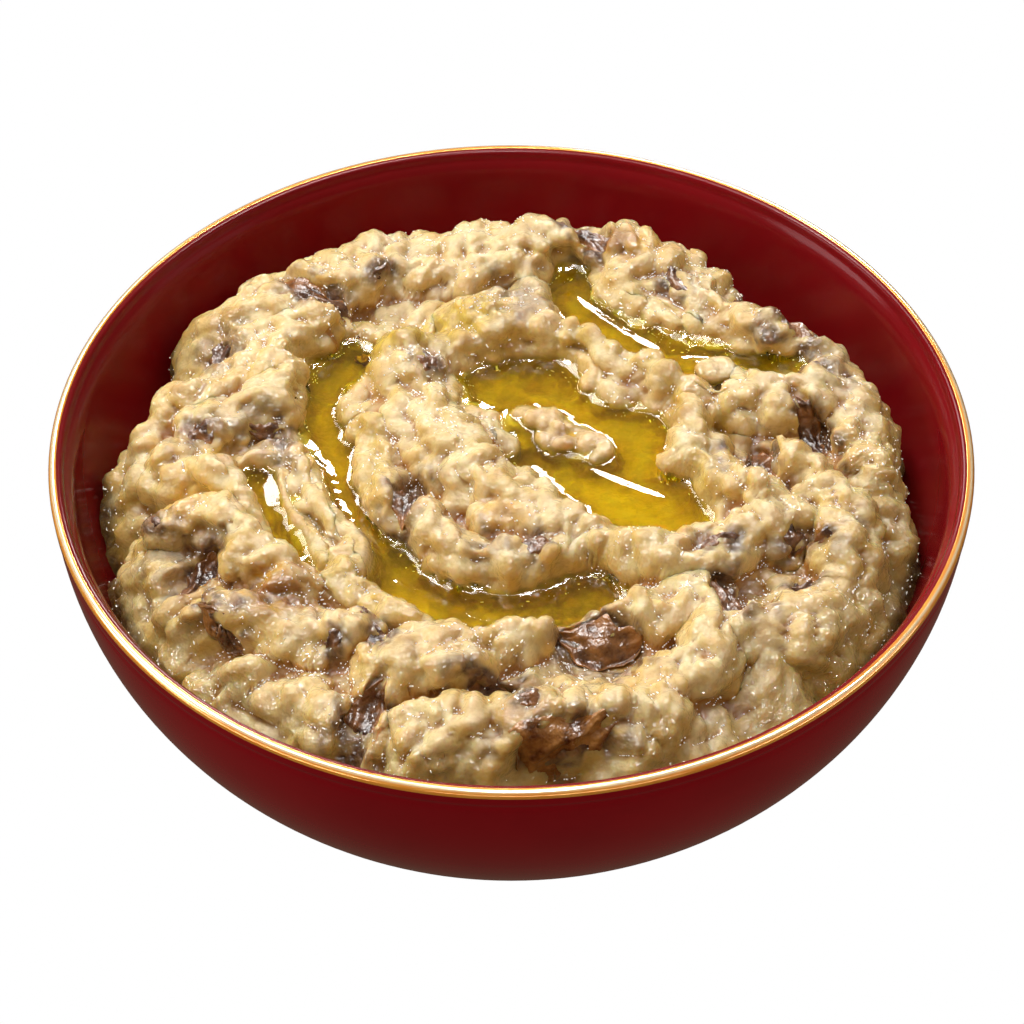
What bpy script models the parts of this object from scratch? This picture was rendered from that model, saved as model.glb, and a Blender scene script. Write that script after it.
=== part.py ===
"""Baba ganoush in its one serving bowl.

A deep glazed bowl on a turned foot ring is filled with a coarse aubergine dip.
The dip is spooned into spiral folds, olive oil stands in the channels between
them, and strips of charred skin lie on top.  Metres, +Z up, the front faces -Y,
and the origin is the middle of the foot ring on the table.
"""

import math

import bmesh
import bpy
import numpy as np
from mathutils import Vector
from mathutils.bvhtree import BVHTree

MM = 0.001
TURN_STEPS = 48          # facets round everything that is turned
GAP = 0.30               # mm kept between touching pieces

# Bowl, in millimetres.
RIM_Z = 64.0             # top of the lip above the table
WALL_A = 80.9            # widest outer radius, at the lip
WALL_B = 69.5            # depth at which the outer curve would close
WALL_END = 59.4          # depth below the lip where the wall meets the foot
WALL_TOP_T = 3.4         # wall thickness under the lip
WALL_LOW_T = 5.2         # wall thickness by the foot
LIP_ROUND = 1.7          # radius of the rounded lip
COLLAR_R = 81.1          # slightly proud band below the lip
COLLAR_DROP = 3.2        # how far that band reaches down
FOOT_OUT_R = 40.0
FOOT_IN_R = 35.5
BASE_Z = 2.6             # recess inside the foot ring
FLOOR_Z = 8.2            # inner floor
FLOOR_R = 30.0           # flat part of the inner floor

# Dip, heights relative to the lip, in millimetres.
CROWN_Z = -6.6           # land between the folds, in the middle
RING_Z = -7.6            # land between the folds of the outer ring
SHOULDER_R = 58.0        # where the dip starts to roll over
SHOULDER_END_R = 70.6
SHOULDER_DROP = 24.0
HEAP_SQUEEZE = 1.03      # the heap is a little narrower than it is deep
HEAP_BACK = 0.9          # and sits this far towards the back
FOLD_GAIN = 1.22         # every fold rises by its figure times this
DIP_GRID = 44            # cells along one side of the top
DIP_GRID_R = 79.0
LUMP_PITCH = 7.6
LUMP_RISE = 1.5
LUMP_SEED = 27
BANK = 2.3               # half-width of the slope beside an oil channel
CHANNEL_BELOW = 2.8      # channel floor below the oil level

# One pass of the spoon each: start, middle, end (x, y), half-width, rise.
FOLDS = (
    ((-20, 26), (-9, 4), (10, -15), 9.0, 5.6),       # mound in the middle
    ((10, -15), (24, -23), (38, -17), 7.0, 5.0),
    ((-26, 4), (-22, -12), (-8, -24), 7.5, 4.0),     # its front lobe
    ((-4, -22), (6, -24), (16, -24), 6.0, 3.6),
    ((-4, 36), (8, 38), (20, 29), 8.5, 5.6),         # fold behind the centre
    ((20, 29), (32, 20), (52, 16), 7.5, 5.2),
    ((-12, 28), (-6, 28), (1, 25), 5.0, 3.8),
    ((29, 10), (35, -2), (46, -16), 7.0, 5.2),       # right bank of the pool
    ((-38, 20), (-50, 10), (-54, -4), 6.5, 5.2),     # fingers on the left
    ((-58, -2), (-50, -7), (-43, -14), 6.5, 5.4),
    ((-50, 22), (-42, 32), (-34, 38), 7.5, 5.2),
    ((-69, -2), (-60, 12), (-48, 21), 5.5, 4.8),
    ((-70, -14), (-64, -22), (-58, -32), 6.0, 4.6),
    ((-58, -16), (-47, -18), (-38, -30), 5.5, 5.0),
    ((-37, -13), (-28, -27), (-15, -39), 3.8, 3.0),
    ((-52, -36), (-40, -36), (-28, -42), 6.5, 4.8),  # front left
    ((-50, -46), (-40, -54), (-26, -63), 7.0, 4.6),
    ((-22, -51), (-10, -44), (2, -41), 6.0, 5.2),    # front
    ((-16, -63), (2, -59), (20, -62), 6.5, 4.6),
    ((12, -38), (24, -36), (34, -30), 4.5, 4.2),
    ((24, -50), (32, -44), (36, -32), 5.5, 4.6),     # front right
    ((20, -57), (34, -57), (46, -48), 6.5, 4.6),
    ((40, -38), (50, -38), (60, -30), 6.5, 5.0),
    ((48, 0), (56, -12), (57, -26), 5.5, 4.8),       # fingers on the right
    ((58, 18), (65, 0), (66, -20), 5.5, 4.6),
    ((44, 33), (54, 27), (62, 14), 6.5, 4.8),        # ring round the back
    ((24, 54), (36, 46), (44, 33), 7.0, 4.8),
    ((-10, 53), (6, 57), (24, 52), 8.5, 5.2),
    ((-56, 34), (-34, 48), (-10, 53), 8.5, 5.2),
)

# Hollows: x, y, radius, depth.
HOLLOWS = (
    (-2, 47, 4.0, 3.5),
    (43, 44, 6.0, 4.0),
    (-53, 30, 5.5, 3.5),
    (-44, 9, 5.0, 2.6),
    (48, -20, 4.5, 3.2),
    (-57, 4, 4.0, 2.0),
    (-28, 38, 4.5, 2.2),
    (27, 4, 3.0, 0.8),
)

# Oil: level below the lip, then the channel strokes (start, middle, end, half-width).
OIL = {
    "oil_centre": (-7.2, (
        ((-1, 20), (2.5, 20), (6, 20), 5.6),
        ((8.5, 12.5), (14, 9), (20.5, 7), 8.2),
        ((14, 1), (20, -4), (26, -9), 7.2),
    )),
    "oil_left": (-8.6, (
        ((-29, 30), (-34, 20), (-31.3, 6), 2.9),
        ((-31.3, 6), (-30, -8), (-22.5, -21), 3.1),
        ((-22.5, -21), (-7, -33), (15, -29), 4.5),
    )),
    "oil_left_branch": (-7.6, (
        ((-43, -3), (-40, -12), (-34, -21), 2.8),
    )),
    "oil_back": (-7.0, (
        ((11, 48), (14, 40), (25, 31), 3.8),
        ((25, 31), (34, 28.5), (49, 25), 3.4),
        ((31, 27), (35, 24.5), (38, 22), 3.0),
    )),
}

# Charred skin: x, y, heading in degrees, length, width, bend across, bend along.
SKINS = (
    (15.0, -41.0, -18, 13.0, 8.0, 1.8, -0.8),
    (9.0, -62.0, 10, 16.0, 5.0, 0.6, -0.8),
    (-25.0, -58.0, 60, 12.0, 4.5, 0.8, 0.9),
    (-50.0, -38.0, -40, 10.0, 3.6, 0.5, 0.0),
    (44.0, 0.0, 80, 12.0, 4.8, -0.6, 0.5),
    (37.0, -33.0, -70, 9.0, 4.6, 0.6, 0.4),
    (-18.0, -10.0, 75, 11.0, 4.4, 0.5, -0.5),
    (-36.0, 42.0, -32, 15.0, 4.4, 0.6, -1.0),
    (-54.0, -24.0, 60, 10.0, 4.0, -0.4, 0.4),
    (-3.0, -53.0, 0, 9.0, 4.2, 0.5, 0.3),
    (14.0, 58.0, -38, 9.0, 4.2, 0.5, -0.5),
    (51.0, 34.0, -42, 9.0, 4.2, 0.4, -0.4),
    (53.0, 11.0, -60, 11.0, 3.4, 0.4, 0.3),
)
SKIN_T = 0.9
SKIN_CLEAR = 0.55
SKIN_DENT = 1.2

COLOURS = {
    "bowl": ((0.22, 0.006, 0.012, 1.0), 0.12),
    "dip": ((0.62, 0.46, 0.24, 1.0), 0.35),
    "oil": ((0.50, 0.36, 0.02, 1.0), 0.08),
    "skin": ((0.07, 0.035, 0.03, 1.0), 0.30),
}


# ---------------------------------------------------------------- scene set-up

def clear_scene():
    for obj in list(bpy.data.objects):
        bpy.data.objects.remove(obj, do_unlink=True)


def new_collection(name, helper=False):
    made = bpy.data.collections.new(name)
    made.hide_render = helper
    bpy.context.scene.collection.children.link(made)
    return made


def material_for(node, kind):
    colour, roughness = COLOURS[kind]
    made = bpy.data.materials.new(node)
    made.use_nodes = True
    shader = made.node_tree.nodes["Principled BSDF"]
    shader.inputs["Base Color"].default_value = colour
    shader.inputs["Roughness"].default_value = roughness
    return made


def object_from(bm, name, collection, kind=None):
    """Write a bmesh to a new object; a helper has no kind and is a wire cutter."""
    mesh = bpy.data.meshes.new(name)
    bm.to_mesh(mesh)
    bm.free()
    obj = bpy.data.objects.new(name, mesh)
    collection.objects.link(obj)
    if kind:
        mesh.materials.append(material_for(name, kind))
    else:
        obj.hide_render = True
        obj.display_type = "WIRE"
    return obj


def evaluated_mesh(obj):
    bpy.context.view_layer.update()
    graph = bpy.context.evaluated_depsgraph_get()
    return bpy.data.meshes.new_from_object(obj.evaluated_get(graph))


def boolean(obj, other, operation):
    modifier = obj.modifiers.new(operation.lower(), "BOOLEAN")
    modifier.operation = operation
    modifier.solver = "EXACT"
    modifier.object = other


# ---------------------------------------------------------------- turned pieces

def turn(profile, name, collection, kind=None):
    """Revolve a profile of (radius, z) millimetres about the upright axis."""
    bm = bmesh.new()
    verts = [bm.verts.new((r * MM, 0.0, z * MM)) for r, z in profile]
    for a, b in zip(verts, verts[1:]):
        bm.edges.new((a, b))
    obj = object_from(bm, name, collection, kind)
    screw = obj.modifiers.new("turn", "SCREW")
    screw.axis = "Z"
    screw.angle = math.tau
    screw.steps = TURN_STEPS
    screw.render_steps = TURN_STEPS
    screw.use_merge_vertices = True
    screw.merge_threshold = 0.0001
    screw.use_smooth_shade = False
    return obj


def wall_point(angle, inset):
    """A point of the outer curve moved inwards along its normal."""
    r = WALL_A * math.cos(angle)
    depth = WALL_B * math.sin(angle)
    nr = WALL_B * math.cos(angle)
    nd = WALL_A * math.sin(angle)
    length = math.hypot(nr, nd)
    return r - inset * nr / length, RIM_Z - (depth - inset * nd / length)


def inner_wall(extra, first, count):
    """Inner wall points from below the lip down to the floor, set in by extra."""
    last = math.asin(WALL_END / WALL_B) - 0.01
    points = []
    for i in range(count):
        share = i / (count - 1)
        angle = first + (last - first) * share
        thick = WALL_TOP_T + (WALL_LOW_T - WALL_TOP_T) * share ** 2
        points.append(wall_point(angle, thick + extra))
    return points


def make_bowl(collection):
    lip_angle = math.asin(2.6 / WALL_B)
    inner = inner_wall(0.0, lip_angle, 8)
    profile = [(0.0, FLOOR_Z), (FLOOR_R, FLOOR_Z)]
    profile += list(reversed(inner))
    lip_r = COLLAR_R - LIP_ROUND
    for i in range(5):
        turn_angle = math.radians(168 - 168 * i / 4)
        profile.append((
            lip_r + LIP_ROUND * math.cos(turn_angle),
            RIM_Z - LIP_ROUND + LIP_ROUND * math.sin(turn_angle),
        ))
    profile.append((COLLAR_R, RIM_Z - COLLAR_DROP))
    outer_first = math.asin((COLLAR_DROP + 0.5) / WALL_B)
    outer_last = math.asin(WALL_END / WALL_B)
    for i in range(7):
        angle = outer_first + (outer_last - outer_first) * i / 6
        profile.append(wall_point(angle, 0.0))
    profile += [
        (FOOT_OUT_R, RIM_Z - WALL_END - 1.4),
        (FOOT_OUT_R - 0.3, 0.7),
        (FOOT_OUT_R - 1.0, 0.0),
        (FOOT_IN_R + 0.7, 0.0),
        (FOOT_IN_R, 0.7),
        (FOOT_IN_R, BASE_Z),
        (0.0, BASE_Z),
    ]
    return turn(profile, "bowl", collection, "bowl")


def make_cavity(collection):
    """The room inside the bowl, a gap clear of its wall, that the dip is cut to."""
    wall = inner_wall(GAP + 0.05, math.asin(2.6 / WALL_B), 8)
    top_r = wall[0][0]
    profile = [(0.0, RIM_Z + 12.0), (top_r, RIM_Z + 12.0)]
    profile += wall
    profile += [(FLOOR_R, FLOOR_Z + GAP + 0.05), (0.0, FLOOR_Z + GAP + 0.05)]
    return turn(profile, "cavity", collection)


# ---------------------------------------------------------------- dip surface

def through(start, middle, end, count=14):
    """A smooth stroke that passes through three points."""
    p0, pm, p1 = (np.array(p, float) for p in (start, middle, end))
    control = 2.0 * pm - 0.5 * (p0 + p1)
    t = np.linspace(0.0, 1.0, count)[:, None]
    return (1 - t) ** 2 * p0 + 2 * t * (1 - t) * control + t ** 2 * p1


def distance_to(path, x, y):
    """Distance of each (x, y) from a path of straight pieces."""
    best = np.full(x.shape, 1e9)
    for (ax, ay), (bx, by) in zip(path, path[1:]):
        dx = bx - ax
        dy = by - ay
        along = ((x - ax) * dx + (y - ay) * dy) / (dx * dx + dy * dy)
        along = np.clip(along, 0.0, 1.0)
        best = np.minimum(best, np.hypot(x - ax - along * dx, y - ay - along * dy))
    return best


def smooth(value):
    value = np.clip(value, 0.0, 1.0)
    return value * value * (3.0 - 2.0 * value)


def rounded(distance, half_width):
    """A soft sausage section: 1 on the spine and 0 past the half-width."""
    return np.clip(1.0 - (distance / half_width) ** 2, 0.0, 1.0) ** 1.1


def lump_field(x, y):
    """Domes of mashed flesh on a jittered triangular pattern, the tallest showing."""
    rng = np.random.default_rng(LUMP_SEED)
    field = np.zeros(x.shape)
    rows = int(SHOULDER_END_R * 2 / (LUMP_PITCH * 0.87)) + 2
    for row in range(rows):
        cy = -SHOULDER_END_R + row * LUMP_PITCH * 0.87
        for column in range(rows):
            cx = -SHOULDER_END_R + (column + 0.5 * (row % 2)) * LUMP_PITCH
            jitter = rng.uniform(-0.34, 0.34, 2) * LUMP_PITCH
            radius = LUMP_PITCH * rng.uniform(0.50, 0.78)
            rise = LUMP_RISE * rng.uniform(0.45, 1.25)
            distance = np.hypot(x - cx - jitter[0], y - cy - jitter[1])
            field = np.maximum(field, rise * rounded(distance, radius))
    return field


def channel_depth(x, y, surface):
    """Cut the oil channels into a surface and keep their banks above the oil."""
    for level, strokes in OIL.values():
        for start, middle, end, half_width in strokes:
            distance = distance_to(through(start, middle, end), x, y)
            share = smooth((half_width + BANK - distance) / (2 * BANK))
            surface = surface * (1 - share) + (level - CHANNEL_BELOW) * share
    return surface


def bank_floor(x, y, surface):
    """Raise low land beside each channel so that the oil stays where it stands."""
    for level, strokes in OIL.values():
        near = np.full(x.shape, 1e9)
        for start, middle, end, half_width in strokes:
            near = np.minimum(
                near, distance_to(through(start, middle, end), x, y) - half_width
            )
        close = (near > BANK) & (near < BANK + 4.0)
        surface = np.where(close, np.maximum(surface, level + 2.2), surface)
    return surface


def shoulder(radius):
    """Height lost by rolling over at the rim of the dip, and its slope."""
    span = SHOULDER_END_R - SHOULDER_R
    roll = np.clip((radius - SHOULDER_R) / span, 0.0, 0.95)
    lost = SHOULDER_DROP * (1.0 - np.sqrt(1.0 - roll ** 2))
    beyond = np.clip(radius - SHOULDER_R - 0.95 * span, 0.0, None)
    slope = SHOULDER_DROP / span * roll / np.sqrt(1.0 - roll ** 2)
    return lost + beyond * 2.5, slope


def relief(x, y):
    """Folds, lumps and hollows: how far the dip stands proud of its land."""
    warp_x = x + 1.3 * np.sin(y / 6.1 + 0.7) + 0.7 * np.sin((x + y) / 4.3)
    warp_y = y + 1.3 * np.sin(x / 5.7 + 2.1) + 0.7 * np.sin((x - y) / 4.7)
    proud = np.zeros(x.shape)
    for start, middle, end, half_width, rise in FOLDS:
        distance = distance_to(through(start, middle, end), warp_x, warp_y)
        proud = np.maximum(proud, FOLD_GAIN * rise * rounded(distance, half_width))
    proud = proud + lump_field(warp_x, warp_y)
    for hx, hy, hollow_radius, depth in HOLLOWS:
        proud = proud - depth * rounded(np.hypot(x - hx, y - hy), hollow_radius)
    for sx, sy, heading, length, width, _, _ in SKINS:
        u, v = skin_frame(x - sx, y - sy, heading)
        proud = proud - SKIN_DENT * rounded(np.hypot(u / length, v / width), 0.62)
    return proud


def dip_points(x, y):
    """Top of the dip: each (x, y) of the land is pushed out along its normal."""
    radius = np.hypot(x, y)
    lost, slope = shoulder(np.hypot(x * HEAP_SQUEEZE, y - HEAP_BACK))
    proud = relief(x, y)
    lean = np.arctan(slope)
    out = proud * np.sin(lean) / np.maximum(radius, 1.0)
    ring = smooth((radius - 30.0) / 20.0)
    surface = CROWN_Z + (RING_Z - CROWN_Z) * ring + proud * np.cos(lean) - lost
    surface = bank_floor(x, y, surface)
    surface = channel_depth(x, y, surface)
    return x * (1.0 + out), y * (1.0 + out), RIM_Z + surface


def skin_frame(dx, dy, heading):
    """Offsets along and across a strip that lies at a heading."""
    c = math.cos(math.radians(heading))
    s = math.sin(math.radians(heading))
    return dx * c + dy * s, dy * c - dx * s


def square_to_disc(x, y):
    """Map a unit square evenly onto a unit disc."""
    if abs(x) > abs(y):
        radius, angle = x, math.pi / 4 * y / x
    elif y != 0.0:
        radius, angle = y, math.pi / 2 - math.pi / 4 * x / y
    else:
        radius, angle = 0.0, 0.0
    return radius * math.cos(angle), radius * math.sin(angle)


def make_dip(collection, cavity):
    bm = bmesh.new()
    bmesh.ops.create_grid(bm, x_segments=DIP_GRID, y_segments=DIP_GRID, size=1.0)
    for vert in bm.verts:
        dx, dy = square_to_disc(vert.co.x, vert.co.y)
        vert.co.x = dx * DIP_GRID_R
        vert.co.y = dy * DIP_GRID_R
    xs = np.array([v.co.x for v in bm.verts])
    ys = np.array([v.co.y for v in bm.verts])
    for vert, point in zip(bm.verts, zip(*dip_points(xs, ys))):
        vert.co = Vector([float(c) for c in point]) * MM
    bmesh.ops.triangulate(bm, faces=bm.faces[:])
    made = bmesh.ops.extrude_face_region(bm, geom=bm.faces[:])
    for item in made["geom"]:
        if isinstance(item, bmesh.types.BMVert):
            item.co.z = -5.0 * MM
    bmesh.ops.recalc_face_normals(bm, faces=bm.faces[:])
    dip = object_from(bm, "baba_ganoush", collection, "dip")
    boolean(dip, cavity, "INTERSECT")
    return dip


# ---------------------------------------------------------------- oil

def ribbon(bm, path, half_width, low, high):
    """A closed upright ribbon with rounded ends, along one channel stroke."""
    outline = []
    ends = ((path[-1], path[-1] - path[-2]), (path[0], path[0] - path[1]))
    sides = (path, path[::-1])
    for side, (end, direction) in zip(sides, ends):
        tangents = np.gradient(side, axis=0)
        tangents /= np.linalg.norm(tangents, axis=1)[:, None]
        normals = np.stack([tangents[:, 1], -tangents[:, 0]], axis=1)
        outline += [tuple(p) for p in side + normals * half_width]
        base = math.atan2(direction[1], direction[0])
        for step in range(1, 6):
            angle = base - math.pi / 2 + math.pi * step / 6
            outline.append((
                end[0] + half_width * math.cos(angle),
                end[1] + half_width * math.sin(angle),
            ))
    verts = [bm.verts.new((x * MM, y * MM, high * MM)) for x, y in outline]
    face = bm.faces.new(verts)
    made = bmesh.ops.extrude_face_region(bm, geom=[face])
    for item in made["geom"]:
        if isinstance(item, bmesh.types.BMVert):
            item.co.z = low * MM
    bmesh.ops.recalc_face_normals(bm, faces=bm.faces[:])


def keep_largest(mesh):
    """Drop the crumbs that a cut leaves, and keep the one main body."""
    bm = bmesh.new()
    bm.from_mesh(mesh)
    left = set(bm.verts)
    groups = []
    while left:
        todo = [left.pop()]
        group = set(todo)
        while todo:
            for edge in todo.pop().link_edges:
                for vert in edge.verts:
                    if vert not in group:
                        group.add(vert)
                        left.discard(vert)
                        todo.append(vert)
        groups.append(group)
    groups.sort(key=len)
    small = [vert for group in groups[:-1] for vert in group]
    bmesh.ops.delete(bm, geom=small, context="VERTS")
    return bm


def make_oil(name, collection, helpers, raised_dip):
    level, strokes = OIL[name]
    top = RIM_Z + level
    blocks = []
    for index, (start, middle, end, half_width) in enumerate(strokes):
        bm = bmesh.new()
        path = through(start, middle, end, 12)
        reach = half_width + BANK * 0.9
        ribbon(bm, path, reach, top - CHANNEL_BELOW - 3.0 - 0.1 * index, top)
        blocks.append(object_from(bm, f"{name}_stroke_{index}", helpers))
    for other in blocks[1:]:
        boolean(blocks[0], other, "UNION")
    boolean(blocks[0], raised_dip, "DIFFERENCE")
    bm = keep_largest(evaluated_mesh(blocks[0]))
    return object_from(bm, name, collection, "oil")


# ---------------------------------------------------------------- charred skin

def resting_height(tree, x, y):
    """Highest point of the dip close to (x, y), in millimetres."""
    found = []
    for dx, dy in ((0, 0), (0.9, 0), (-0.9, 0), (0, 0.9), (0, -0.9)):
        origin = Vector(((x + dx) * MM, (y + dy) * MM, 0.2))
        hit = tree.ray_cast(origin, Vector((0, 0, -1)))[0]
        found.append(hit.z / MM)
    return max(found)


def draped(points, rests):
    """Heights of a stiff strip: half follows its mean plane, none sinks below rest."""
    spots = np.array(points)
    rests = np.array(rests)
    basis = np.column_stack([spots, np.ones(len(spots))])
    plane = basis @ np.linalg.lstsq(basis, rests, rcond=None)[0]
    return np.maximum(rests, 0.35 * rests + 0.65 * plane)


def make_skin(number, strip, collection, tree):
    x, y, heading, length, width, across, along = strip
    c = math.cos(math.radians(heading))
    s = math.sin(math.radians(heading))
    bm = bmesh.new()
    bmesh.ops.create_grid(bm, x_segments=5, y_segments=3, size=1.0)
    spots = []
    lifts = []
    for vert in bm.verts:
        u = vert.co.x
        v = vert.co.y
        taper = math.sqrt(1.0 - 0.72 * u * u)
        ragged = 1.0 + 0.16 * math.sin(5.0 * u + 2.0 * number) * v
        px = u * length / 2 * (1.0 - 0.10 * v * v)
        py = v * width / 2 * taper * ragged + 0.08 * length * (u * u - 0.4)
        spots.append((x + px * c - py * s, y + px * s + py * c))
        lift = SKIN_CLEAR + SKIN_T / 2
        lift += max(0.0, across) * v * v + max(0.0, -across) * (1 - v * v)
        lift += max(0.0, along) * u * u + max(0.0, -along) * (1 - u * u)
        lifts.append(lift)
    heights = draped(spots, [resting_height(tree, *spot) for spot in spots])
    for vert, spot, height, lift in zip(bm.verts, spots, heights, lifts):
        vert.co = Vector((spot[0], spot[1], float(height) + lift)) * MM
    name = f"skin_{number:02d}"
    obj = object_from(bm, name, collection, "skin")
    thick = obj.modifiers.new("thickness", "SOLIDIFY")
    thick.thickness = SKIN_T * MM
    thick.offset = 0.0
    thick.use_even_offset = False
    return obj


# ---------------------------------------------------------------- build

def build():
    clear_scene()
    parts = new_collection("baba_ganoush_bowl")
    helpers = new_collection("cutters", helper=True)
    make_bowl(parts)
    cavity = make_cavity(helpers)
    dip = make_dip(parts, cavity)

    solid = evaluated_mesh(dip)
    raised_mesh = solid.copy()
    for vert in raised_mesh.vertices:
        vert.co.z += GAP * MM
    raised = bpy.data.objects.new("raised_dip", raised_mesh)
    raised.hide_render = True
    raised.display_type = "WIRE"
    helpers.objects.link(raised)
    for name in OIL:
        make_oil(name, parts, helpers, raised)

    bm = bmesh.new()
    bm.from_mesh(solid)
    tree = BVHTree.FromBMesh(bm)
    for number, strip in enumerate(SKINS, start=1):
        make_skin(number, strip, parts, tree)
    bm.free()


build()
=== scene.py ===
# %% [markdown]
# # Baba ganoush in its glazed bowl
# Roasted aubergine is mashed by hand, so the dip is coarse: soft flesh, round lumps and dark
# strips of charred skin. A spoon pulls it into spiral folds and olive oil fills the channels.
# Here the solids from the frame give the size and place of everything, and each cell makes one
# material or one kind of piece on top of them. Lengths are in millimetres until a mesh is made.

import math

import bpy
import numpy as np
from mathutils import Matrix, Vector, kdtree


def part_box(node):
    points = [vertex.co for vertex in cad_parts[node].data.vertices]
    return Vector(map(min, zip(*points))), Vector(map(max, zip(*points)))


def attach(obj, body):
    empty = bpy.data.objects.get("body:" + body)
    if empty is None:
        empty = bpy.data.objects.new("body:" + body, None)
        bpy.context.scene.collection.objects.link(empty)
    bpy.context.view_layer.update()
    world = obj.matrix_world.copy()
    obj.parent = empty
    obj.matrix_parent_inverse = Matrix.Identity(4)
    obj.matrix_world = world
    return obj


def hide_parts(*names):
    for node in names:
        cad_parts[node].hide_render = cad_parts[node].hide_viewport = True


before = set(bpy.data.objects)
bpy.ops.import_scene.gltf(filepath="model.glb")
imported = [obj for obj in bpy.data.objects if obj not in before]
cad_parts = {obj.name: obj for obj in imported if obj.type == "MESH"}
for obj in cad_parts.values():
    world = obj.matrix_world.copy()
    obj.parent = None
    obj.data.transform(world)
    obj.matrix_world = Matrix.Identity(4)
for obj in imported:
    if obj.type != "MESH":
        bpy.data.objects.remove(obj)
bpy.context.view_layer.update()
MM = 0.001
RIM_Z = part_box("bowl")[1][2] / MM
print("nodes in the frame:", len(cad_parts), "lip at", round(RIM_Z, 1), "mm")

# %% [markdown]
# ## Camera, light and table
# The table and the backdrop are one even white sheet that glows a little, as on a light table.
# A large soft light hangs over the bowl. A long low light stands behind it, and only the sloping
# edges of the oil can mirror it, which draws the bright curved lines at the pool's edge.

# %% Camera
ELEVATION = math.radians(44.45)
DISTANCE = 0.72
scene = bpy.context.scene
camera_data = bpy.data.cameras.new("camera")
camera_data.lens = 144.1
camera_data.sensor_width = 36.0
camera = bpy.data.objects.new("camera", camera_data)
camera.location = (0.0001, -DISTANCE * math.cos(ELEVATION), RIM_Z * MM + DISTANCE * math.sin(ELEVATION))
camera.rotation_euler = (math.pi / 2 - ELEVATION - math.radians(0.957), 0.0, 0.0)
scene.collection.objects.link(camera)
scene.camera = camera
scene.view_settings.view_transform = "Standard"
for kind, bounces in (("max", 4), ("diffuse", 2), ("glossy", 2), ("transmission", 4)):
    setattr(scene.cycles, kind + "_bounces", bounces)
print("camera at", [round(v, 3) for v in camera.location])


# %% Lights, world and table
def area_light(name, place, size, power, gloss_only=False):
    """A rectangular soft light that faces the dip."""
    data = bpy.data.lights.new(name, "AREA")
    data.shape = "RECTANGLE"
    data.size, data.size_y = size
    data.energy = power
    light = bpy.data.objects.new(name, data)
    light.location = place
    aim = Vector((0.0, 0.0, 0.05)) - Vector(place)
    light.rotation_euler = aim.to_track_quat("-Z", "Y").to_euler()
    light.visible_diffuse = not gloss_only
    scene.collection.objects.link(light)


def around(azimuth, elevation, distance):
    """A place seen from the bowl: azimuth 0 is straight behind it, and grows to the right."""
    a, e = math.radians(azimuth), math.radians(elevation)
    return (distance * math.sin(a) * math.cos(e), distance * math.cos(a) * math.cos(e), 0.05 + distance * math.sin(e))


area_light("top_light", around(-50, 66, 1.1), (0.60, 0.50), 6.2)
area_light("window_left", around(-25, 37, 1.5), (0.46, 0.36), 10.4)
area_light("window_right", around(12, 27, 1.5), (0.42, 0.24), 14.0, gloss_only=True)
area_light("side_left", around(-95, 24, 1.4), (0.7, 0.6), 7.8)
area_light("side_right", around(100, 16, 1.4), (0.7, 0.6), 1.0)
area_light("overhead_strip", around(0, 80, 1.1), (1.0, 0.10), 5.0, gloss_only=True)
area_light("sheen", around(-40, 53, 1.3), (0.50, 0.40), 5.5, gloss_only=True)
for number, (azimuth, elevation) in enumerate(((-62, 60), (58, 62), (176, 76), (20, 68))):
    area_light(f"spark_{number}", around(azimuth, elevation, 1.1), (0.18, 0.18), 6.0, gloss_only=True)
LOW_STRIPS = (("low_left", (-0.75, -0.55, 0.035), 1.8), ("low_front", (0.15, -0.95, 0.035), 1.0),
              ("low_right", (0.90, -0.35, 0.035), 1.8))
for name, place, power in LOW_STRIPS:
    area_light(name, place, (0.9, 0.06), power)

world = bpy.data.worlds.new("studio")
world.use_nodes = True
tree = world.node_tree
seen = tree.nodes.new("ShaderNodeLightPath")
backdrop = tree.nodes.new("ShaderNodeBackground")
backdrop.inputs["Strength"].default_value = 1.0
backdrop.inputs["Color"].default_value = (1.0, 1.0, 1.0, 1.0)
dim = tree.nodes["Background"]
dim.inputs["Color"].default_value = (1.0, 0.80, 0.56, 1.0)
up = tree.nodes.new("ShaderNodeSeparateXYZ")
tree.links.new(tree.nodes.new("ShaderNodeTexCoord").outputs["Generated"], up.inputs["Vector"])
sky = tree.nodes.new("ShaderNodeMapRange")
for key, value in zip(("From Min", "From Max", "To Min", "To Max"), (-0.1, 0.5, 0.11, 0.42)):
    sky.inputs[key].default_value = value
tree.links.new(up.outputs["Z"], sky.inputs["Value"])
tree.links.new(sky.outputs["Result"], dim.inputs["Strength"])
chosen = tree.nodes.new("ShaderNodeMixShader")
tree.links.new(seen.outputs["Is Camera Ray"], chosen.inputs["Fac"])
tree.links.new(dim.outputs["Background"], chosen.inputs[1])
tree.links.new(backdrop.outputs["Background"], chosen.inputs[2])
tree.links.new(chosen.outputs["Shader"], tree.nodes["World Output"].inputs["Surface"])
scene.world = world

bpy.ops.mesh.primitive_plane_add(size=9.0, location=(0, 0, -0.0004))
table = bpy.context.object
table.name = "table"
table.visible_diffuse = False
table.visible_glossy = False
table.visible_transmission = False
table_material = bpy.data.materials.new("table_white")
table_material.use_nodes = True
shader = table_material.node_tree.nodes["Principled BSDF"]
shader.inputs["Base Color"].default_value = (0.0, 0.0, 0.0, 1.0)
shader.inputs["Specular IOR Level"].default_value = 0.0
shader.inputs["Roughness"].default_value = 1.0
shader.inputs["Emission Color"].default_value = (1.0, 1.0, 1.0, 1.0)
shader.inputs["Emission Strength"].default_value = 1.0
table_material.cycles.emission_sampling = "NONE"
table.data.materials.append(table_material)

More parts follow.
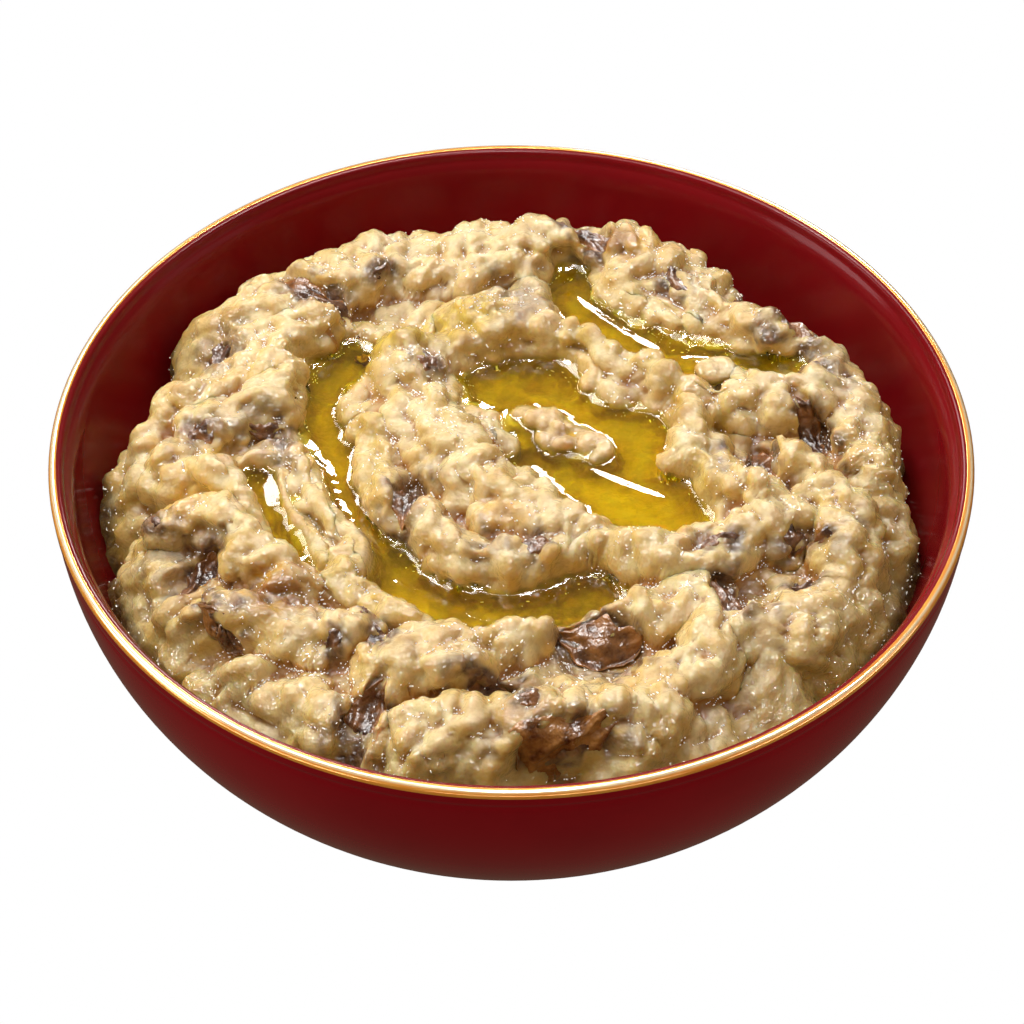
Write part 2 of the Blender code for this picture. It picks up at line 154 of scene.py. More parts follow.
# %% [markdown]
# ## Small tools
# A mesh is written once from arrays. Materials are built from a few kinds of node, so a short
# helper keeps each finish readable. Random looking things come from whole-number cells and a
# fixed mixing rule, so every run gives the same dip.


# %% Mesh and material helpers
def mesh_object(name, points_mm, faces, replaces=(), attributes=None, smooth=True):
    """Make one piece from points in millimetres, hang it on the root body and hide the frame parts it replaces."""
    mesh = bpy.data.meshes.new(name)
    mesh.from_pydata([tuple(p) for p in np.asarray(points_mm, float) * MM], [], [tuple(f) for f in faces])
    for key, values in (attributes or {}).items():
        layer = mesh.attributes.new(key, "FLOAT", "POINT")
        layer.data.foreach_set("value", np.asarray(values, np.float32))
    mesh.polygons.foreach_set("use_smooth", np.full(len(mesh.polygons), smooth))
    mesh.update()
    obj = bpy.data.objects.new(name, mesh)
    scene.collection.objects.link(obj)
    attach(obj, "root")
    if replaces:
        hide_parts(*replaces)
    print(f"{name}: {len(mesh.vertices)} points, {len(mesh.polygons)} faces")
    return obj


class Finish:
    """A node material, with one method for each kind of node that the finishes use."""

    def __init__(self, name):
        self.material = bpy.data.materials.new(name)
        self.material.use_nodes = True
        self.tree = self.material.node_tree
        self.shader = self.tree.nodes["Principled BSDF"]
        self.output = self.tree.nodes["Material Output"]
        self.place = self.tree.nodes.new("ShaderNodeTexCoord").outputs["Object"]

    def set(self, **values):
        for key, value in values.items():
            self.shader.inputs[key.replace("_", " ")].default_value = value
        return self

    def link(self, source, target):
        self.tree.links.new(source, target)

    def into(self, source, socket):
        self.link(source, self.shader.inputs[socket])
        return self

    def attribute(self, name):
        node = self.tree.nodes.new("ShaderNodeAttribute")
        node.attribute_name = name
        return node.outputs["Fac"]

    def noise(self, scale, detail=3.0, rough=0.55, stretch=None):
        node = self.tree.nodes.new("ShaderNodeTexNoise")
        node.inputs["Scale"].default_value = scale
        node.inputs["Detail"].default_value = detail
        node.inputs["Roughness"].default_value = rough
        place = self.place
        if stretch:
            mapping = self.tree.nodes.new("ShaderNodeMapping")
            mapping.inputs["Scale"].default_value = stretch
            self.link(place, mapping.inputs["Vector"])
            place = mapping.outputs["Vector"]
        self.link(place, node.inputs["Vector"])
        return node.outputs["Fac"]

    def cells(self, scale):
        node = self.tree.nodes.new("ShaderNodeTexVoronoi")
        node.inputs["Scale"].default_value = scale
        self.link(self.place, node.inputs["Vector"])
        return node.outputs["Distance"]

    def curve(self, source, low, high, to_low=0.0, to_high=1.0):
        node = self.tree.nodes.new("ShaderNodeMapRange")
        node.interpolation_type = "SMOOTHSTEP"
        for key, value in zip(("From Min", "From Max", "To Min", "To Max"), (low, high, to_low, to_high)):
            node.inputs[key].default_value = value
        self.link(source, node.inputs["Value"])
        return node.outputs["Result"]

    def math(self, operation, a, b):
        node = self.tree.nodes.new("ShaderNodeMath")
        node.operation = operation
        for socket, value in zip(node.inputs, (a, b)):
            if isinstance(value, (int, float)):
                socket.default_value = value
            else:
                self.link(value, socket)
        return node.outputs["Value"]

    def mix(self, factor, a, b):
        """Blend two colours; each is a colour or the output of another node."""
        node = self.tree.nodes.new("ShaderNodeMix")
        node.data_type = "RGBA"
        self.link(factor, node.inputs["Factor"])
        for socket, value in zip((node.inputs[6], node.inputs[7]), (a, b)):
            if isinstance(value, tuple):
                socket.default_value = (*value, 1.0)
            else:
                self.link(value, socket)
        return node.outputs[2]

    def bump(self, height, strength, distance, normal=None):
        node = self.tree.nodes.new("ShaderNodeBump")
        node.inputs["Strength"].default_value = strength
        node.inputs["Distance"].default_value = distance
        self.link(height, node.inputs["Height"])
        if normal:
            self.link(normal, node.inputs["Normal"])
        return node.outputs["Normal"]


# %% Numbers: soft steps, strokes and grains
def step(value):
    value = np.clip(value, 0.0, 1.0)
    return value * value * (3.0 - 2.0 * value)


def through(start, middle, end, count=16):
    """A smooth stroke that passes through three points."""
    p0, pm, p1 = (np.array(p, float) for p in (start, middle, end))
    control = 2.0 * pm - 0.5 * (p0 + p1)
    t = np.linspace(0.0, 1.0, count)[:, None]
    return (1 - t) ** 2 * p0 + 2 * t * (1 - t) * control + t ** 2 * p1


def distance_to(path, x, y):
    best = np.full(x.shape, 1e9)
    for (ax, ay), (bx, by) in zip(path, path[1:]):
        dx, dy = bx - ax, by - ay
        along = np.clip(((x - ax) * dx + (y - ay) * dy) / (dx * dx + dy * dy), 0.0, 1.0)
        best = np.minimum(best, (x - ax - along * dx) ** 2 + (y - ay - along * dy) ** 2)
    return np.sqrt(best)


def dice(ix, iy, salt):
    """A repeatable number from 0 to 1 for each whole-number cell."""
    n = (ix.astype(np.int64) * 374761393 + iy.astype(np.int64) * 668265263 + salt * 974634777) & 0xFFFFFFFF
    n = ((n ^ (n >> 13)) * 1274126177) & 0xFFFFFFFF
    return (n ^ (n >> 16)) / 4294967295.0


def swell(x, y, size, salt):
    """Smooth noise from -1 to 1, with humps about one size across."""
    gx, gy = x / size, y / size
    ix, iy = np.floor(gx), np.floor(gy)
    fx, fy = step(gx - ix), step(gy - iy)
    low = dice(ix, iy, salt) * (1 - fx) + dice(ix + 1, iy, salt) * fx
    high = dice(ix, iy + 1, salt) * (1 - fx) + dice(ix + 1, iy + 1, salt) * fx
    return 2.0 * (low * (1 - fy) + high * fy) - 1.0


def dice3(cell, salt):
    """A repeatable number from 0 to 1 for each whole-number cell of space."""
    k = cell.astype(np.int64)
    n = (k[..., 0] * 374761393 + k[..., 1] * 668265263 + k[..., 2] * 1440662683 + salt * 974634777) & 0xFFFFFFFF
    n = ((n ^ (n >> 13)) * 1274126177) & 0xFFFFFFFF
    return (n ^ (n >> 16)) / 4294967295.0


def blobs(points, pitch, salt, tall=0.5, share=1.0, long=1.5):
    """Height of round-topped lumps scattered through space, where the surface cuts them."""
    cell = np.floor(points / pitch)
    total = np.zeros(points.shape[:-1])
    for offset in np.ndindex(3, 3, 3):
        k = cell + (np.array(offset) - 1)
        jitter = np.stack([dice3(k, salt + i) for i in range(3)], -1)
        q = points - (k + 0.5 + 0.65 * (jitter - 0.5)) * pitch
        size = dice3(k, salt + 3)
        turn = dice3(k, salt + 4) * math.pi
        along = q[..., 0] * np.cos(turn) + q[..., 1] * np.sin(turn)
        radius = pitch * (0.46 + 0.30 * size)
        far = ((q * q).sum(-1) - along ** 2 * (1.0 - 1.0 / long ** 2)) / radius ** 2
        cap = radius * tall * np.clip(1.0 - far, 0.0, 1.0) ** 0.75
        total += np.where(dice3(k, salt + 5) < share, cap, 0.0) ** 5
    return total ** 0.2


def blur(grid, times):
    """Soften a grid of heights, or of points, by averaging each entry with its neighbours."""
    edge = [(1, 1), (1, 1)] + [(0, 0)] * (grid.ndim - 2)
    for _ in range(times):
        padded = np.pad(grid, edge, mode="edge")
        grid = (padded[:-2, 1:-1] + padded[2:, 1:-1] + padded[1:-1, :-2] + padded[1:-1, 2:] + 4 * grid) / 8.0
    return grid


def facing(points):
    """Unit normals of a grid of points, pointing up and out."""
    normal = np.cross(np.gradient(points, axis=0), np.gradient(points, axis=1))
    normal /= np.linalg.norm(normal, axis=-1, keepdims=True) + 1e-12
    return normal * np.sign(normal[..., 2].mean())


print("dice check:", np.round(dice(np.arange(3.0), np.arange(3.0), 7), 3))

# %% [markdown]
# ## The bowl
# The bowl is thrown and turned, then dipped in one dark red glaze that pools slightly darker
# where it is thick. The lip has a collar outside and a small ledge inside, both from the
# turning tool. It is a profile swept round, because every section of it is the same.


# %% Bowl
WALL_A, WALL_B = 80.9, 69.5
STEPS = 180


def outer_radius(drop):
    return WALL_A * np.sqrt(np.clip(1.0 - (drop / WALL_B) ** 2, 0.0, 1.0))


def inner_radius(z):
    """Radius of the inside of the wall at a height, under the ledge."""
    drop = np.clip(RIM_Z - np.asarray(z, float), 3.0, 60.0)
    slope = np.hypot(1.0, WALL_A * drop / WALL_B ** 2 / np.sqrt(1.0 - (drop / WALL_B) ** 2))
    return outer_radius(drop) - (3.75 + 1.3 * (drop / 60.0) ** 2) * slope


def sweep(profile, steps=STEPS):
    """Points and quads of a profile of (radius, z) swept right round."""
    profile = np.asarray(profile, float)
    angle = np.linspace(0, 2 * math.pi, steps, endpoint=False)
    r = profile[:, 0][None, :]
    points = np.stack([r * np.cos(angle)[:, None], r * np.sin(angle)[:, None],
                       np.broadcast_to(profile[:, 1], (steps, len(profile)))], -1)
    m = len(profile)
    faces = [(i * m + j, i * m + j + 1, (i + 1) % steps * m + j + 1, (i + 1) % steps * m + j)
             for i in range(steps) for j in range(m - 1)]
    return points.reshape(-1, 3), faces


def rounded_path(knots, rounds=3):
    """Soften a coarse profile by cutting its corners, keeping both ends."""
    line = np.asarray(knots, float)
    for _ in range(rounds):
        cut = np.empty((2 * len(line), 2))
        cut[0], cut[-1] = line[0], line[-1]
        cut[1:-1:2] = 0.75 * line[:-1] + 0.25 * line[1:]
        cut[2:-1:2] = 0.25 * line[:-1] + 0.75 * line[1:]
        line = cut
    return line


wall_z = RIM_Z - np.linspace(57.0, 10.0, 26)
inside = [(0.4, 8.2), (24.0, 8.2), (33.0, 8.5)] + [(float(inner_radius(z)), z) for z in wall_z if z > 10.5]
lip = rounded_path([(inner_radius(RIM_Z - 9.0), -9.0), (inner_radius(RIM_Z - 7.0), -7.0), (76.85, -5.2),
                    (77.25, -3.4), (77.9, -2.2), (78.5, -1.6), (78.75, -0.5), (79.3, 0.0),
                    (80.3, 0.0), (81.0, -0.6), (81.1, -2.9), (80.62, -3.5), (80.72, -5.0), (80.5, -7.0)])
lip = [(r, RIM_Z + d) for r, d in lip]
outside = [(float(outer_radius(d)), RIM_Z - d) for d in np.linspace(8.0, 59.4, 30)]
foot = [(40.4, 3.4), (39.9, 2.0), (39.7, 0.8), (39.2, 0.15), (38.6, 0.0), (36.4, 0.0), (35.8, 0.2),
        (35.5, 0.8), (35.4, 2.2), (34.6, 2.6), (0.4, 2.6)]
bowl_points, bowl_faces = sweep(inside + lip + outside + foot)
bowl = mesh_object("glazed_bowl", bowl_points, bowl_faces, ["bowl"])

glaze = Finish("dark_red_glaze")
mottle = glaze.noise(60.0, 4.0)
drift = glaze.noise(9.0, 2.0, stretch=(1.0, 1.0, 0.35))
tone = glaze.mix(glaze.curve(drift, 0.3, 0.7), (0.170, 0.0026, 0.0056), (0.215, 0.0034, 0.0074))
tone = glaze.mix(glaze.curve(mottle, 0.35, 0.75, 0.0, 0.35), tone, (0.150, 0.002, 0.0048))
glaze.into(tone, "Base Color").set(IOR=1.5, Specular_IOR_Level=0.12)
glaze.into(glaze.curve(drift, 0.3, 0.8, 0.16, 0.22), "Roughness")
glaze.into(glaze.bump(mottle, 0.03, 0.0006), "Normal")
bowl.data.materials.append(glaze.material)
bowl.visible_diffuse = False

# %% [markdown]
# ## The gold line
# A line of liquid bright gold is brushed round the top of the lip and fired on. It is very
# thin and follows the bead, so it is a narrow band of the lip's own profile, lifted a hair.
# Along the top of the bead its colour turns pale white gold: a painted highlight.

# %% Gold line
swing = np.linspace(math.radians(108), math.radians(-22), 27)
# A band of pale white gold along the top of the bead is a painted highlight.
painted_highlight = np.exp(-((np.degrees(swing) - 62.0) / 13.0) ** 2)
bead_r, bead_z, bead = 80.12, -0.90, 1.05
band = [(bead_r + bead * math.cos(t), RIM_Z + bead_z + bead * math.sin(t)) for t in swing]
band_points, band_faces = sweep([(bead_r - 0.2, RIM_Z - 0.9)] + band + [(bead_r, RIM_Z - 1.3)])
gold_line = mesh_object("gold_line", band_points, band_faces,
                        attributes={"painted_highlight": np.tile([0.0, *painted_highlight, 0.0], STEPS)})
gold = Finish("fired_gold")
gold.set(Metallic=0.45, Coat_Weight=1.0, Coat_IOR=1.7, Coat_Roughness=0.12)
rich = gold.mix(gold.curve(gold.noise(220.0, 3.0), 0.35, 0.7), (1.0, 0.36, 0.025), (1.0, 0.44, 0.05))
gold.into(gold.mix(gold.attribute("painted_highlight"), rich, (1.0, 0.90, 0.62)), "Base Color")
gold.into(gold.curve(gold.noise(90.0, 3.0), 0.3, 0.8, 0.12, 0.22), "Roughness")
gold.into(gold.bump(gold.noise(700.0, 2.0), 0.12, 0.0002), "Normal")
gold_line.data.materials.append(gold.material)

# %% [markdown]
# ## The dip's surface
# The mash is stiff enough to hold a fold: each pass of the spoon leaves a thick rounded
# ridge with a steep side. Over the ridges come soft lumps, then small nodules of fibre and
# seed bed, then fine grain. All of it is pushed out along the heap's own normal, so the
# lumps also stand out on the sides of the heap, where it rolls over at the rim.

# %% Spoon strokes: start, middle, end, half-width, rise
FOLDS = (
    ((-20, 26), (-10, 3), (8, -16), 8.5, 4.8), ((10, -15), (24, -23), (38, -17), 7.0, 5.0),
    ((-26, 4), (-22, -12), (-8, -24), 7.5, 4.0), ((-4, -22), (6, -24), (16, -24), 6.0, 3.6),
    ((-4, 36), (8, 38), (20, 29), 8.5, 5.6), ((20, 29), (32, 20), (52, 16), 7.5, 5.2),
    ((-12, 28), (-6, 28), (1, 25), 5.0, 3.8), ((29, 10), (35, -2), (46, -16), 7.0, 5.2),
    ((-38, 20), (-50, 10), (-54, -4), 6.5, 5.2), ((-58, -2), (-50, -7), (-43, -14), 6.5, 5.4),
    ((-50, 22), (-42, 32), (-34, 38), 7.5, 5.2), ((-69, -2), (-60, 12), (-48, 21), 5.5, 4.8),
    ((-70, -14), (-64, -22), (-58, -32), 6.0, 4.6), ((-58, -16), (-47, -18), (-38, -30), 5.5, 5.0),
    ((-37, -13), (-28, -27), (-15, -39), 3.8, 3.0), ((-52, -36), (-40, -36), (-28, -42), 6.5, 4.8),
    ((-50, -46), (-40, -54), (-26, -63), 7.0, 4.6), ((-22, -51), (-10, -44), (2, -41), 6.0, 5.2),
    ((-16, -63), (2, -59), (20, -62), 6.5, 4.6), ((12, -38), (24, -36), (34, -30), 4.5, 4.2),
    ((24, -50), (32, -44), (36, -32), 5.5, 4.6), ((20, -57), (34, -57), (46, -48), 6.5, 4.6),
    ((40, -38), (50, -38), (60, -30), 6.5, 5.0), ((48, 0), (56, -12), (57, -26), 5.5, 4.8),
    ((58, 18), (65, 0), (66, -20), 5.5, 4.6), ((44, 33), (54, 27), (62, 14), 6.5, 4.8),
    ((24, 54), (36, 46), (44, 33), 7.0, 4.8), ((-10, 53), (6, 57), (24, 52), 8.5, 5.2),
    ((-56, 34), (-34, 48), (-10, 53), 8.5, 5.2),
)
HOLLOWS = ((-2, 47, 4.0, 3.5), (43, 44, 6.0, 4.0), (-53, 30, 5.5, 3.5), (-44, 9, 5.0, 2.6),
           (48, -20, 4.5, 3.2), (-57, 4, 4.0, 2.0), (-28, 38, 4.5, 2.2), (27, 4, 3.0, 0.8))
POOLS = {
    "oil_centre": (-7.2, (((-2, 22), (2.5, 23), (6, 22), 5.6), ((8.5, 12.5), (14, 9), (20.5, 7), 8.2),
                          ((14, 1), (20, -4), (26, -9), 7.2), ((6, 3), (12, -3), (19, -9), 5.0))),
    "oil_left": (-8.6, (((-29, 30), (-34, 20), (-31.3, 6), 2.9), ((-31.3, 6), (-30, -8), (-22.5, -21), 3.1),
                        ((-22.5, -21), (-7, -33), (15, -29), 4.5))),
    "oil_left_branch": (-7.6, (((-43, -3), (-40, -12), (-34, -21), 2.8),)),
    "oil_back": (-7.0, (((11, 48), (14, 40), (25, 31), 3.8), ((25, 31), (34, 28.5), (49, 25), 3.4),
                        ((31, 27), (35, 24.5), (38, 22), 3.0))),
}
LOBES = (
    (-15.5, -64.5, 6, 5.5, 0, 2.0), (59, -31, 5, 8, 10, 1.5), (-50, -5, 11, 9, 20, 1.6), (-66, -22, 7, 6, 0, 1.6),
    (-33, -61, 6, 9, 5, 1.8), (33, -60, 5, 9, -10, 1.8), (-43, -45, 7, 6, 0, 1.8), (-47, -49, 6, 7, 20, 1.6),
    (12, -53, 6, 6, 0, 1.6), (26, -54, 6, 8, -10, 1.5), (28, -61, 6, 6, 0, 1.5), (17, -56, 6, 5, 0, 1.4),
    (43, -8, 12, 6, -55, 2.0), (8, 67, 6, 6, 0, 1.8), (34, 55, 4, 5, 60, 2.6), (-28, 46, 9, 7, 25, 1.8),
    (-20, 28, 7, 6, -60, 1.8), (-39, 23, 7, 6, 0, 1.8), (-28, -40, 9, 7, 30, 1.6), (-9, 61, 8, 6, 0, 1.4), (22, 60, 9, 7, -20, 1.4),
    (-60, 8, 10, 8, 60, 1.4), (-66, -8, 8, 8, 0, 1.4), (62, 2, 8, 7, 80, 1.4), (66, -14, 7, 7, 0, 1.4),
)
ISLES = ((3.0, 13.5, 12, 10, -30, 3.5), (8.5, 9.5, 14, 12, -40, 3.9), (14.5, 5.5, 11, 9, -30, 3.7),
         (37, 25, 8, 6, -20, 4.2), (42, 23, 6, 6, 0, 3.8))
SKINS = (
    (15.0, -41.0, -12, 15.0, 9.0, 1.2, 0.0), (8.0, -63.0, 12, 21.0, 6.5, 0.4, -0.4),
    (-25.0, -58.0, 60, 14.0, 5.6, 0.3, 0.4), (-50.0, -38.0, -40, 12.0, 4.6, 0.3, 0.0),
    (44.0, 0.0, 80, 13.0, 6.0, -0.2, 0.2), (37.0, -33.0, -70, 11.0, 5.6, 0.3, 0.2),
    (-18.0, -10.0, 75, 12.0, 5.4, 0.3, -0.2), (-36.0, 42.0, -32, 16.0, 5.4, 0.3, -0.6),
    (-54.0, -24.0, 60, 11.0, 5.0, -0.2, 0.2), (-3.0, -53.0, 0, 11.0, 5.2, 0.3, 0.2),
    (14.0, 58.0, -38, 11.0, 5.2, 0.3, -0.2), (51.0, 34.0, -42, 11.0, 5.2, 0.2, -0.2),
    (53.0, 11.0, -60, 13.0, 4.4, 0.2, 0.2),
)
FLECKS = (
    (30, 45, 8, 4, -60), (-55, 5, 6, 5, 20), (-22, -43, 7, 4, -70), (4, -22, 5, 5, 0), (-15, 22, 5, 4, -30),
    (-7, 64, 5, 4, 0), (-24, 47, 5, 3, 60), (-27, 32, 4, 3, 0), (-60, 26, 9, 5, 40), (-53, 30, 7, 5, 70),
    (-44, 9, 7, 5, 0), (-62, -16, 6, 4, -20), (36, -22, 8, 3, 20), (54, -19, 5, 3, 30), (50, -27, 5, 3, 20),
    (69, -8, 3, 6, 0), (54, 24, 8, 5, -50), (-10, -66, 5, 3, -60), (-25, -39, 2, 2, 0), (3, -58, 5, 4, 30),
    (49, -19, 5, 5, 0), (43, 43, 8, 6, -20), (-30, -44, 5, 3, 50), (60, 30, 8, 4, -40), (-66, 0, 6, 4, 70),
)
# Dark patches of painted shade in the hollows and along the wall.
SHADES = (
    (-2, 47, 12, 9, 0, 0.6), (-53, 31, 16, 10, 60, 0.7), (-45, 9, 14, 10, 0, 0.6), (-57, 4, 12, 8, 30, 0.5),
    (48, -20, 12, 10, -30, 0.6), (-4, -21, 9, 8, 0, 0.6), (46, 42, 16, 10, -30, 0.6), (58, 24, 14, 8, -50, 0.5),
    (-37, -36, 14, 10, -20, 0.35), (-20, -14, 14, 10, 60, 0.5), (-62, -19, 12, 10, 0, 0.4), (62, -38, 14, 8, 50, 0.35),
    (12, -66, 30, 6, 5, 0.5), (23, -69, 20, 5, 12, 0.95), (-56, -45, 16, 6, -40, 0.3), (52, 6, 18, 8, -60, 0.35), (69, -14, 8, 20, 0, 0.35),
)
CARAMEL = (
    (-40, -33, 13, 10, -20, 1.0), (20, 55, 14, 8, -15, 0.8), (5, 51, 8, 6, 0, 0.5), (-2, -14, 10, 7, -30, 0.7),
    (-12, -46, 16, 7, 20, 0.45), (54, -19, 5, 5, 0, 0.9), (35, 55, 5, 5, 0, 0.5), (-55, 5, 8, 6, 0, 0.6),
    (-60, 14, 10, 7, 0, 0.3), (2, -61, 12, 6, 10, 0.6), (30, 12, 10, 8, 0, 0.35), (9, 9, 13, 8, -40, 0.4), (-52, 36, 8, 6, 40, 0.4),
)
BUTTER = (
    (-15.5, -64.5, 7, 7, 0, 0.9), (-55, -7, 10, 9, 0, 0.9), (-6, 24, 12, 8, -40, 0.5), (21, -54, 12, 8, 0, 0.5),
    (0, 34, 16, 10, 0, 0.4), (35, 15, 14, 9, 0, 0.4), (-46, 22, 14, 10, 0, 0.4), (28, 55, 16, 8, -20, 0.5),
    (-22, 30, 26, 7, 28, 0.6), (-46, -12, 12, 8, 0, 0.5), (10, 64, 10, 8, 0, 0.4), (30, 30, 14, 10, 0, 0.4),
)
SWELLS = (((12, 1), (19, -3.5), (28, -8), 0.42), ((3, 3), (6, -6), (15, -14), 0.40),
          ((-22.5, -24), (-14, -33), (-2, -36), 0.36), ((-33, 6), (-32, -6), (-27, -16), 0.30),
          ((11, 46), (17, 38), (27, 30), 0.40), ((30, 28.5), (38, 26.5), (48, 23.5), 0.36))
FILMS = ((((-32, 24), (-21, 30), (-6, 35)), 4.0, 0.9), (((-1, 27), (6, 28), (12, 30)), 2.0, 0.35),
         (((12, 31), (22, 25), (30, 14)), 1.6, 0.35), (((-33, -22), (-22, -33), (-8, -39)), 2.0, 0.5),
         (((-30, 16), (-25, 8), (-24, -4)), 2.0, 0.4), (((36, 10), (33, 0), (34, -8)), 2.0, 0.4))
print("folds:", len(FOLDS), "pools:", len(POOLS), "skins:", len(SKINS), "flecks:", len(FLECKS))


# %% Relief of the dip
def fold_relief(x, y):
    """Height of the spoon folds over the land, with a steep rounded side."""
    wx = x + 1.3 * np.sin(y / 6.1 + 0.7) + 0.7 * np.sin((x + y) / 4.3) + 1.1 * swell(x, y, 4.2, 11)
    wy = y + 1.3 * np.sin(x / 5.7 + 2.1) + 0.7 * np.sin((x - y) / 4.7) + 1.1 * swell(x, y, 4.2, 12)
    proud = np.zeros(x.shape)
    for start, middle, end, half, rise in FOLDS:
        away = np.clip(distance_to(through(start, middle, end), wx, wy) / half, 0.0, 1.0)
        proud = np.maximum(proud, 1.25 * rise * (1.0 - away ** 2.2) ** 0.8)
    return proud


def pool_distance(strokes, x, y):
    """Distance outside the edge of a pool's channel; negative inside."""
    return np.min([distance_to(through(a, b, c), x, y) - half for a, b, c, half in strokes], axis=0)


def oval(x, y, cx, cy, long, wide, heading):
    """Squared distance from a turned oval's middle, 1 at its edge."""
    c, s = math.cos(math.radians(heading)), math.sin(math.radians(heading))
    u = ((x - cx) * c + (y - cy) * s) / (long / 2)
    v = ((y - cy) * c - (x - cx) * s) / (wide / 2)
    return u * u + v * v


def folded(x, y):
    """Points of the heap with its folds, hollows and channels, before any lumps."""
    radius = np.hypot(x, y)
    shape_r = np.hypot(x * 1.03, y - 0.9)
    roll = np.clip((shape_r - 58.0) / 12.6, 0.0, 0.95)
    lost = 24.0 * (1.0 - np.sqrt(1.0 - roll ** 2)) + 2.5 * np.clip(shape_r - 69.97, 0.0, None)
    lean = np.arctan(24.0 / 12.6 * roll / np.sqrt(1.0 - roll ** 2))
    proud = fold_relief(x, y)
    for hx, hy, size, depth in HOLLOWS:
        proud = proud - depth * np.clip(1.0 - ((x - hx) ** 2 + (y - hy) ** 2) / size ** 2, 0.0, 1.0)
    for sx, sy, heading, long, wide, *_ in SKINS:
        proud = proud - 0.7 * step(1.4 - oval(x, y, sx, sy, long, wide, heading))
    z = -6.6 - 1.0 * step((radius - 30.0) / 20.0) + proud * np.cos(lean) - lost
    channel = np.zeros(x.shape)
    for level, strokes in POOLS.values():
        edge = pool_distance(strokes, x + 0.8 * swell(x, y, 3.0, 71), y + 0.8 * swell(x, y, 3.0, 72))
        z = np.maximum(z, level + 1.6 - 30.0 * step((edge - 3.0) / 12.0))
        share = step((4.1 - edge) / 6.4)
        z = z * (1 - share) + (level - 2.5 + 1.0 * swell(x, y, 5.0, 75)) * share
        channel = np.maximum(channel, step((1.4 - edge) / 3.0))
    for lx, ly, long, wide, heading, rise in LOBES:
        z = z + rise * np.clip(1.0 - oval(x, y, lx, ly, long, wide, heading), 0.0, 1.0) ** 0.6
    for lx, ly, long, wide, heading, rise in ISLES:
        dome = np.clip(1.0 - oval(x, y, lx, ly, long, wide, heading), 0.0, 1.0) ** 0.6
        z = np.where(dome > 0.0, np.maximum(z, ISLE_FLOOR + rise * dome), z)
    out = 1.0 + proud * np.sin(lean) / np.maximum(radius, 1.0)
    return np.stack([x * out, y * out, RIM_Z + z], -1), channel


def disc_grid(cells, size):
    """A square grid bent evenly into a disc, so no point of it is crowded."""
    s, t = np.meshgrid(np.linspace(-1, 1, cells + 1), np.linspace(-1, 1, cells + 1), indexing="ij")
    wide = np.abs(s) > np.abs(t)
    reach = np.where(wide, s, t)
    safe = np.where(reach == 0, 1.0, reach)
    angle = np.where(wide, math.pi / 4 * t / safe, math.pi / 2 - math.pi / 4 * s / safe)
    reach = size * np.sin(0.6 * math.pi / 2 * reach) / math.sin(0.6 * math.pi / 2)
    return reach * np.cos(angle), reach * np.sin(angle)


def push(points, height, softening):
    """Move points along the normals of the softened surface, keeping its mean level."""
    return points + facing(blur(points, softening)) * (height - height.mean())[..., None]


ISLE_FLOOR = -9.6
CELLS = 306
flat_x, flat_y = disc_grid(CELLS, 76.0)
dip_grid, channel_map = folded(flat_x, flat_y)
under_skin = np.zeros(flat_x.shape)
for sx, sy, heading, long, wide, *_ in SKINS:
    under_skin = np.maximum(under_skin, step(1.25 - oval(flat_x, flat_y, sx, sy, long, wide, heading)))
for lx, ly, long, wide, heading, rise in ISLES:
    channel_map *= 1.0 - step(1.3 - oval(flat_x, flat_y, lx, ly, long, wide, heading))
still = (1.0 - 0.75 * channel_map) * (1.0 - 0.85 * under_skin)
coarse = step(0.5 + 0.8 * swell(flat_x, flat_y, 13.0, 31))
lump_map = blobs(dip_grid, 9.0, 21, 0.34, 1.0, 2.0)
dip_grid = push(dip_grid, lump_map * still, 6)
nodule_map = blobs(dip_grid, 4.0, 41, 0.74, 0.92, 2.0)
dip_grid = push(dip_grid, nodule_map * still * (0.8 + 0.2 * coarse), 3)
grain_map = blobs(dip_grid, 2.2, 51, 0.46, 0.8, 1.6)
dip_grid = push(dip_grid, grain_map * still * (0.8 + 0.3 * swell(flat_x, flat_y, 7.0, 33)), 2)
dip_grid = 0.8 * dip_grid + 0.2 * blur(dip_grid, 1)
dip_x, dip_y, dip_z = dip_grid[..., 0], dip_grid[..., 1], dip_grid[..., 2]
limit = inner_radius(dip_z) - 0.5 + 0.9 * step((RIM_Z - 17.0 - dip_z) / 5.0)
squeeze = np.minimum(1.0, limit / np.maximum(np.hypot(dip_x, dip_y), 1e-6))
dip_x, dip_y = dip_x * squeeze, dip_y * squeeze
for level, strokes in POOLS.values():
    edge = pool_distance(strokes, dip_x, dip_y)
    bank = step((edge - 2.0) / 1.4) * step((9.0 - edge) / 3.0)
    brim = RIM_Z + level + 1.1 + 0.8 * nodule_map + 0.4 * lump_map
    dip_z = dip_z + bank * (brim + 0.5 * np.log1p(np.exp(np.clip((dip_z - brim) / 0.5, -30, 30))) - dip_z)
# Painted shade: a map that darkens the dip where it meets the wall.
contact_shade_map = step((np.hypot(dip_x, dip_y) - limit + 5.0) / 4.0)
wet_map = np.zeros(dip_x.shape)
for level, strokes in POOLS.values():
    low = step(1.0 - (dip_z - RIM_Z - level) / 2.4)
    wet_map = np.maximum(wet_map, low * step((5.0 - pool_distance(strokes, flat_x, flat_y)) / 4.0))
film_map = np.zeros(dip_x.shape)
for path, half, strength in FILMS:
    edge = distance_to(through(*path), flat_x + 1.5 * swell(flat_x, flat_y, 3.0, 73), flat_y) / half
    film_map = np.maximum(film_map, strength * step(1.7 - edge))
print("dip top from", round(float(dip_z.min()), 1), "to", round(float(dip_z.max()), 1), "mm")
print("mean lumps, nodules, grain:", [round(float(m.mean()), 2) for m in (lump_map, nodule_map, grain_map)])

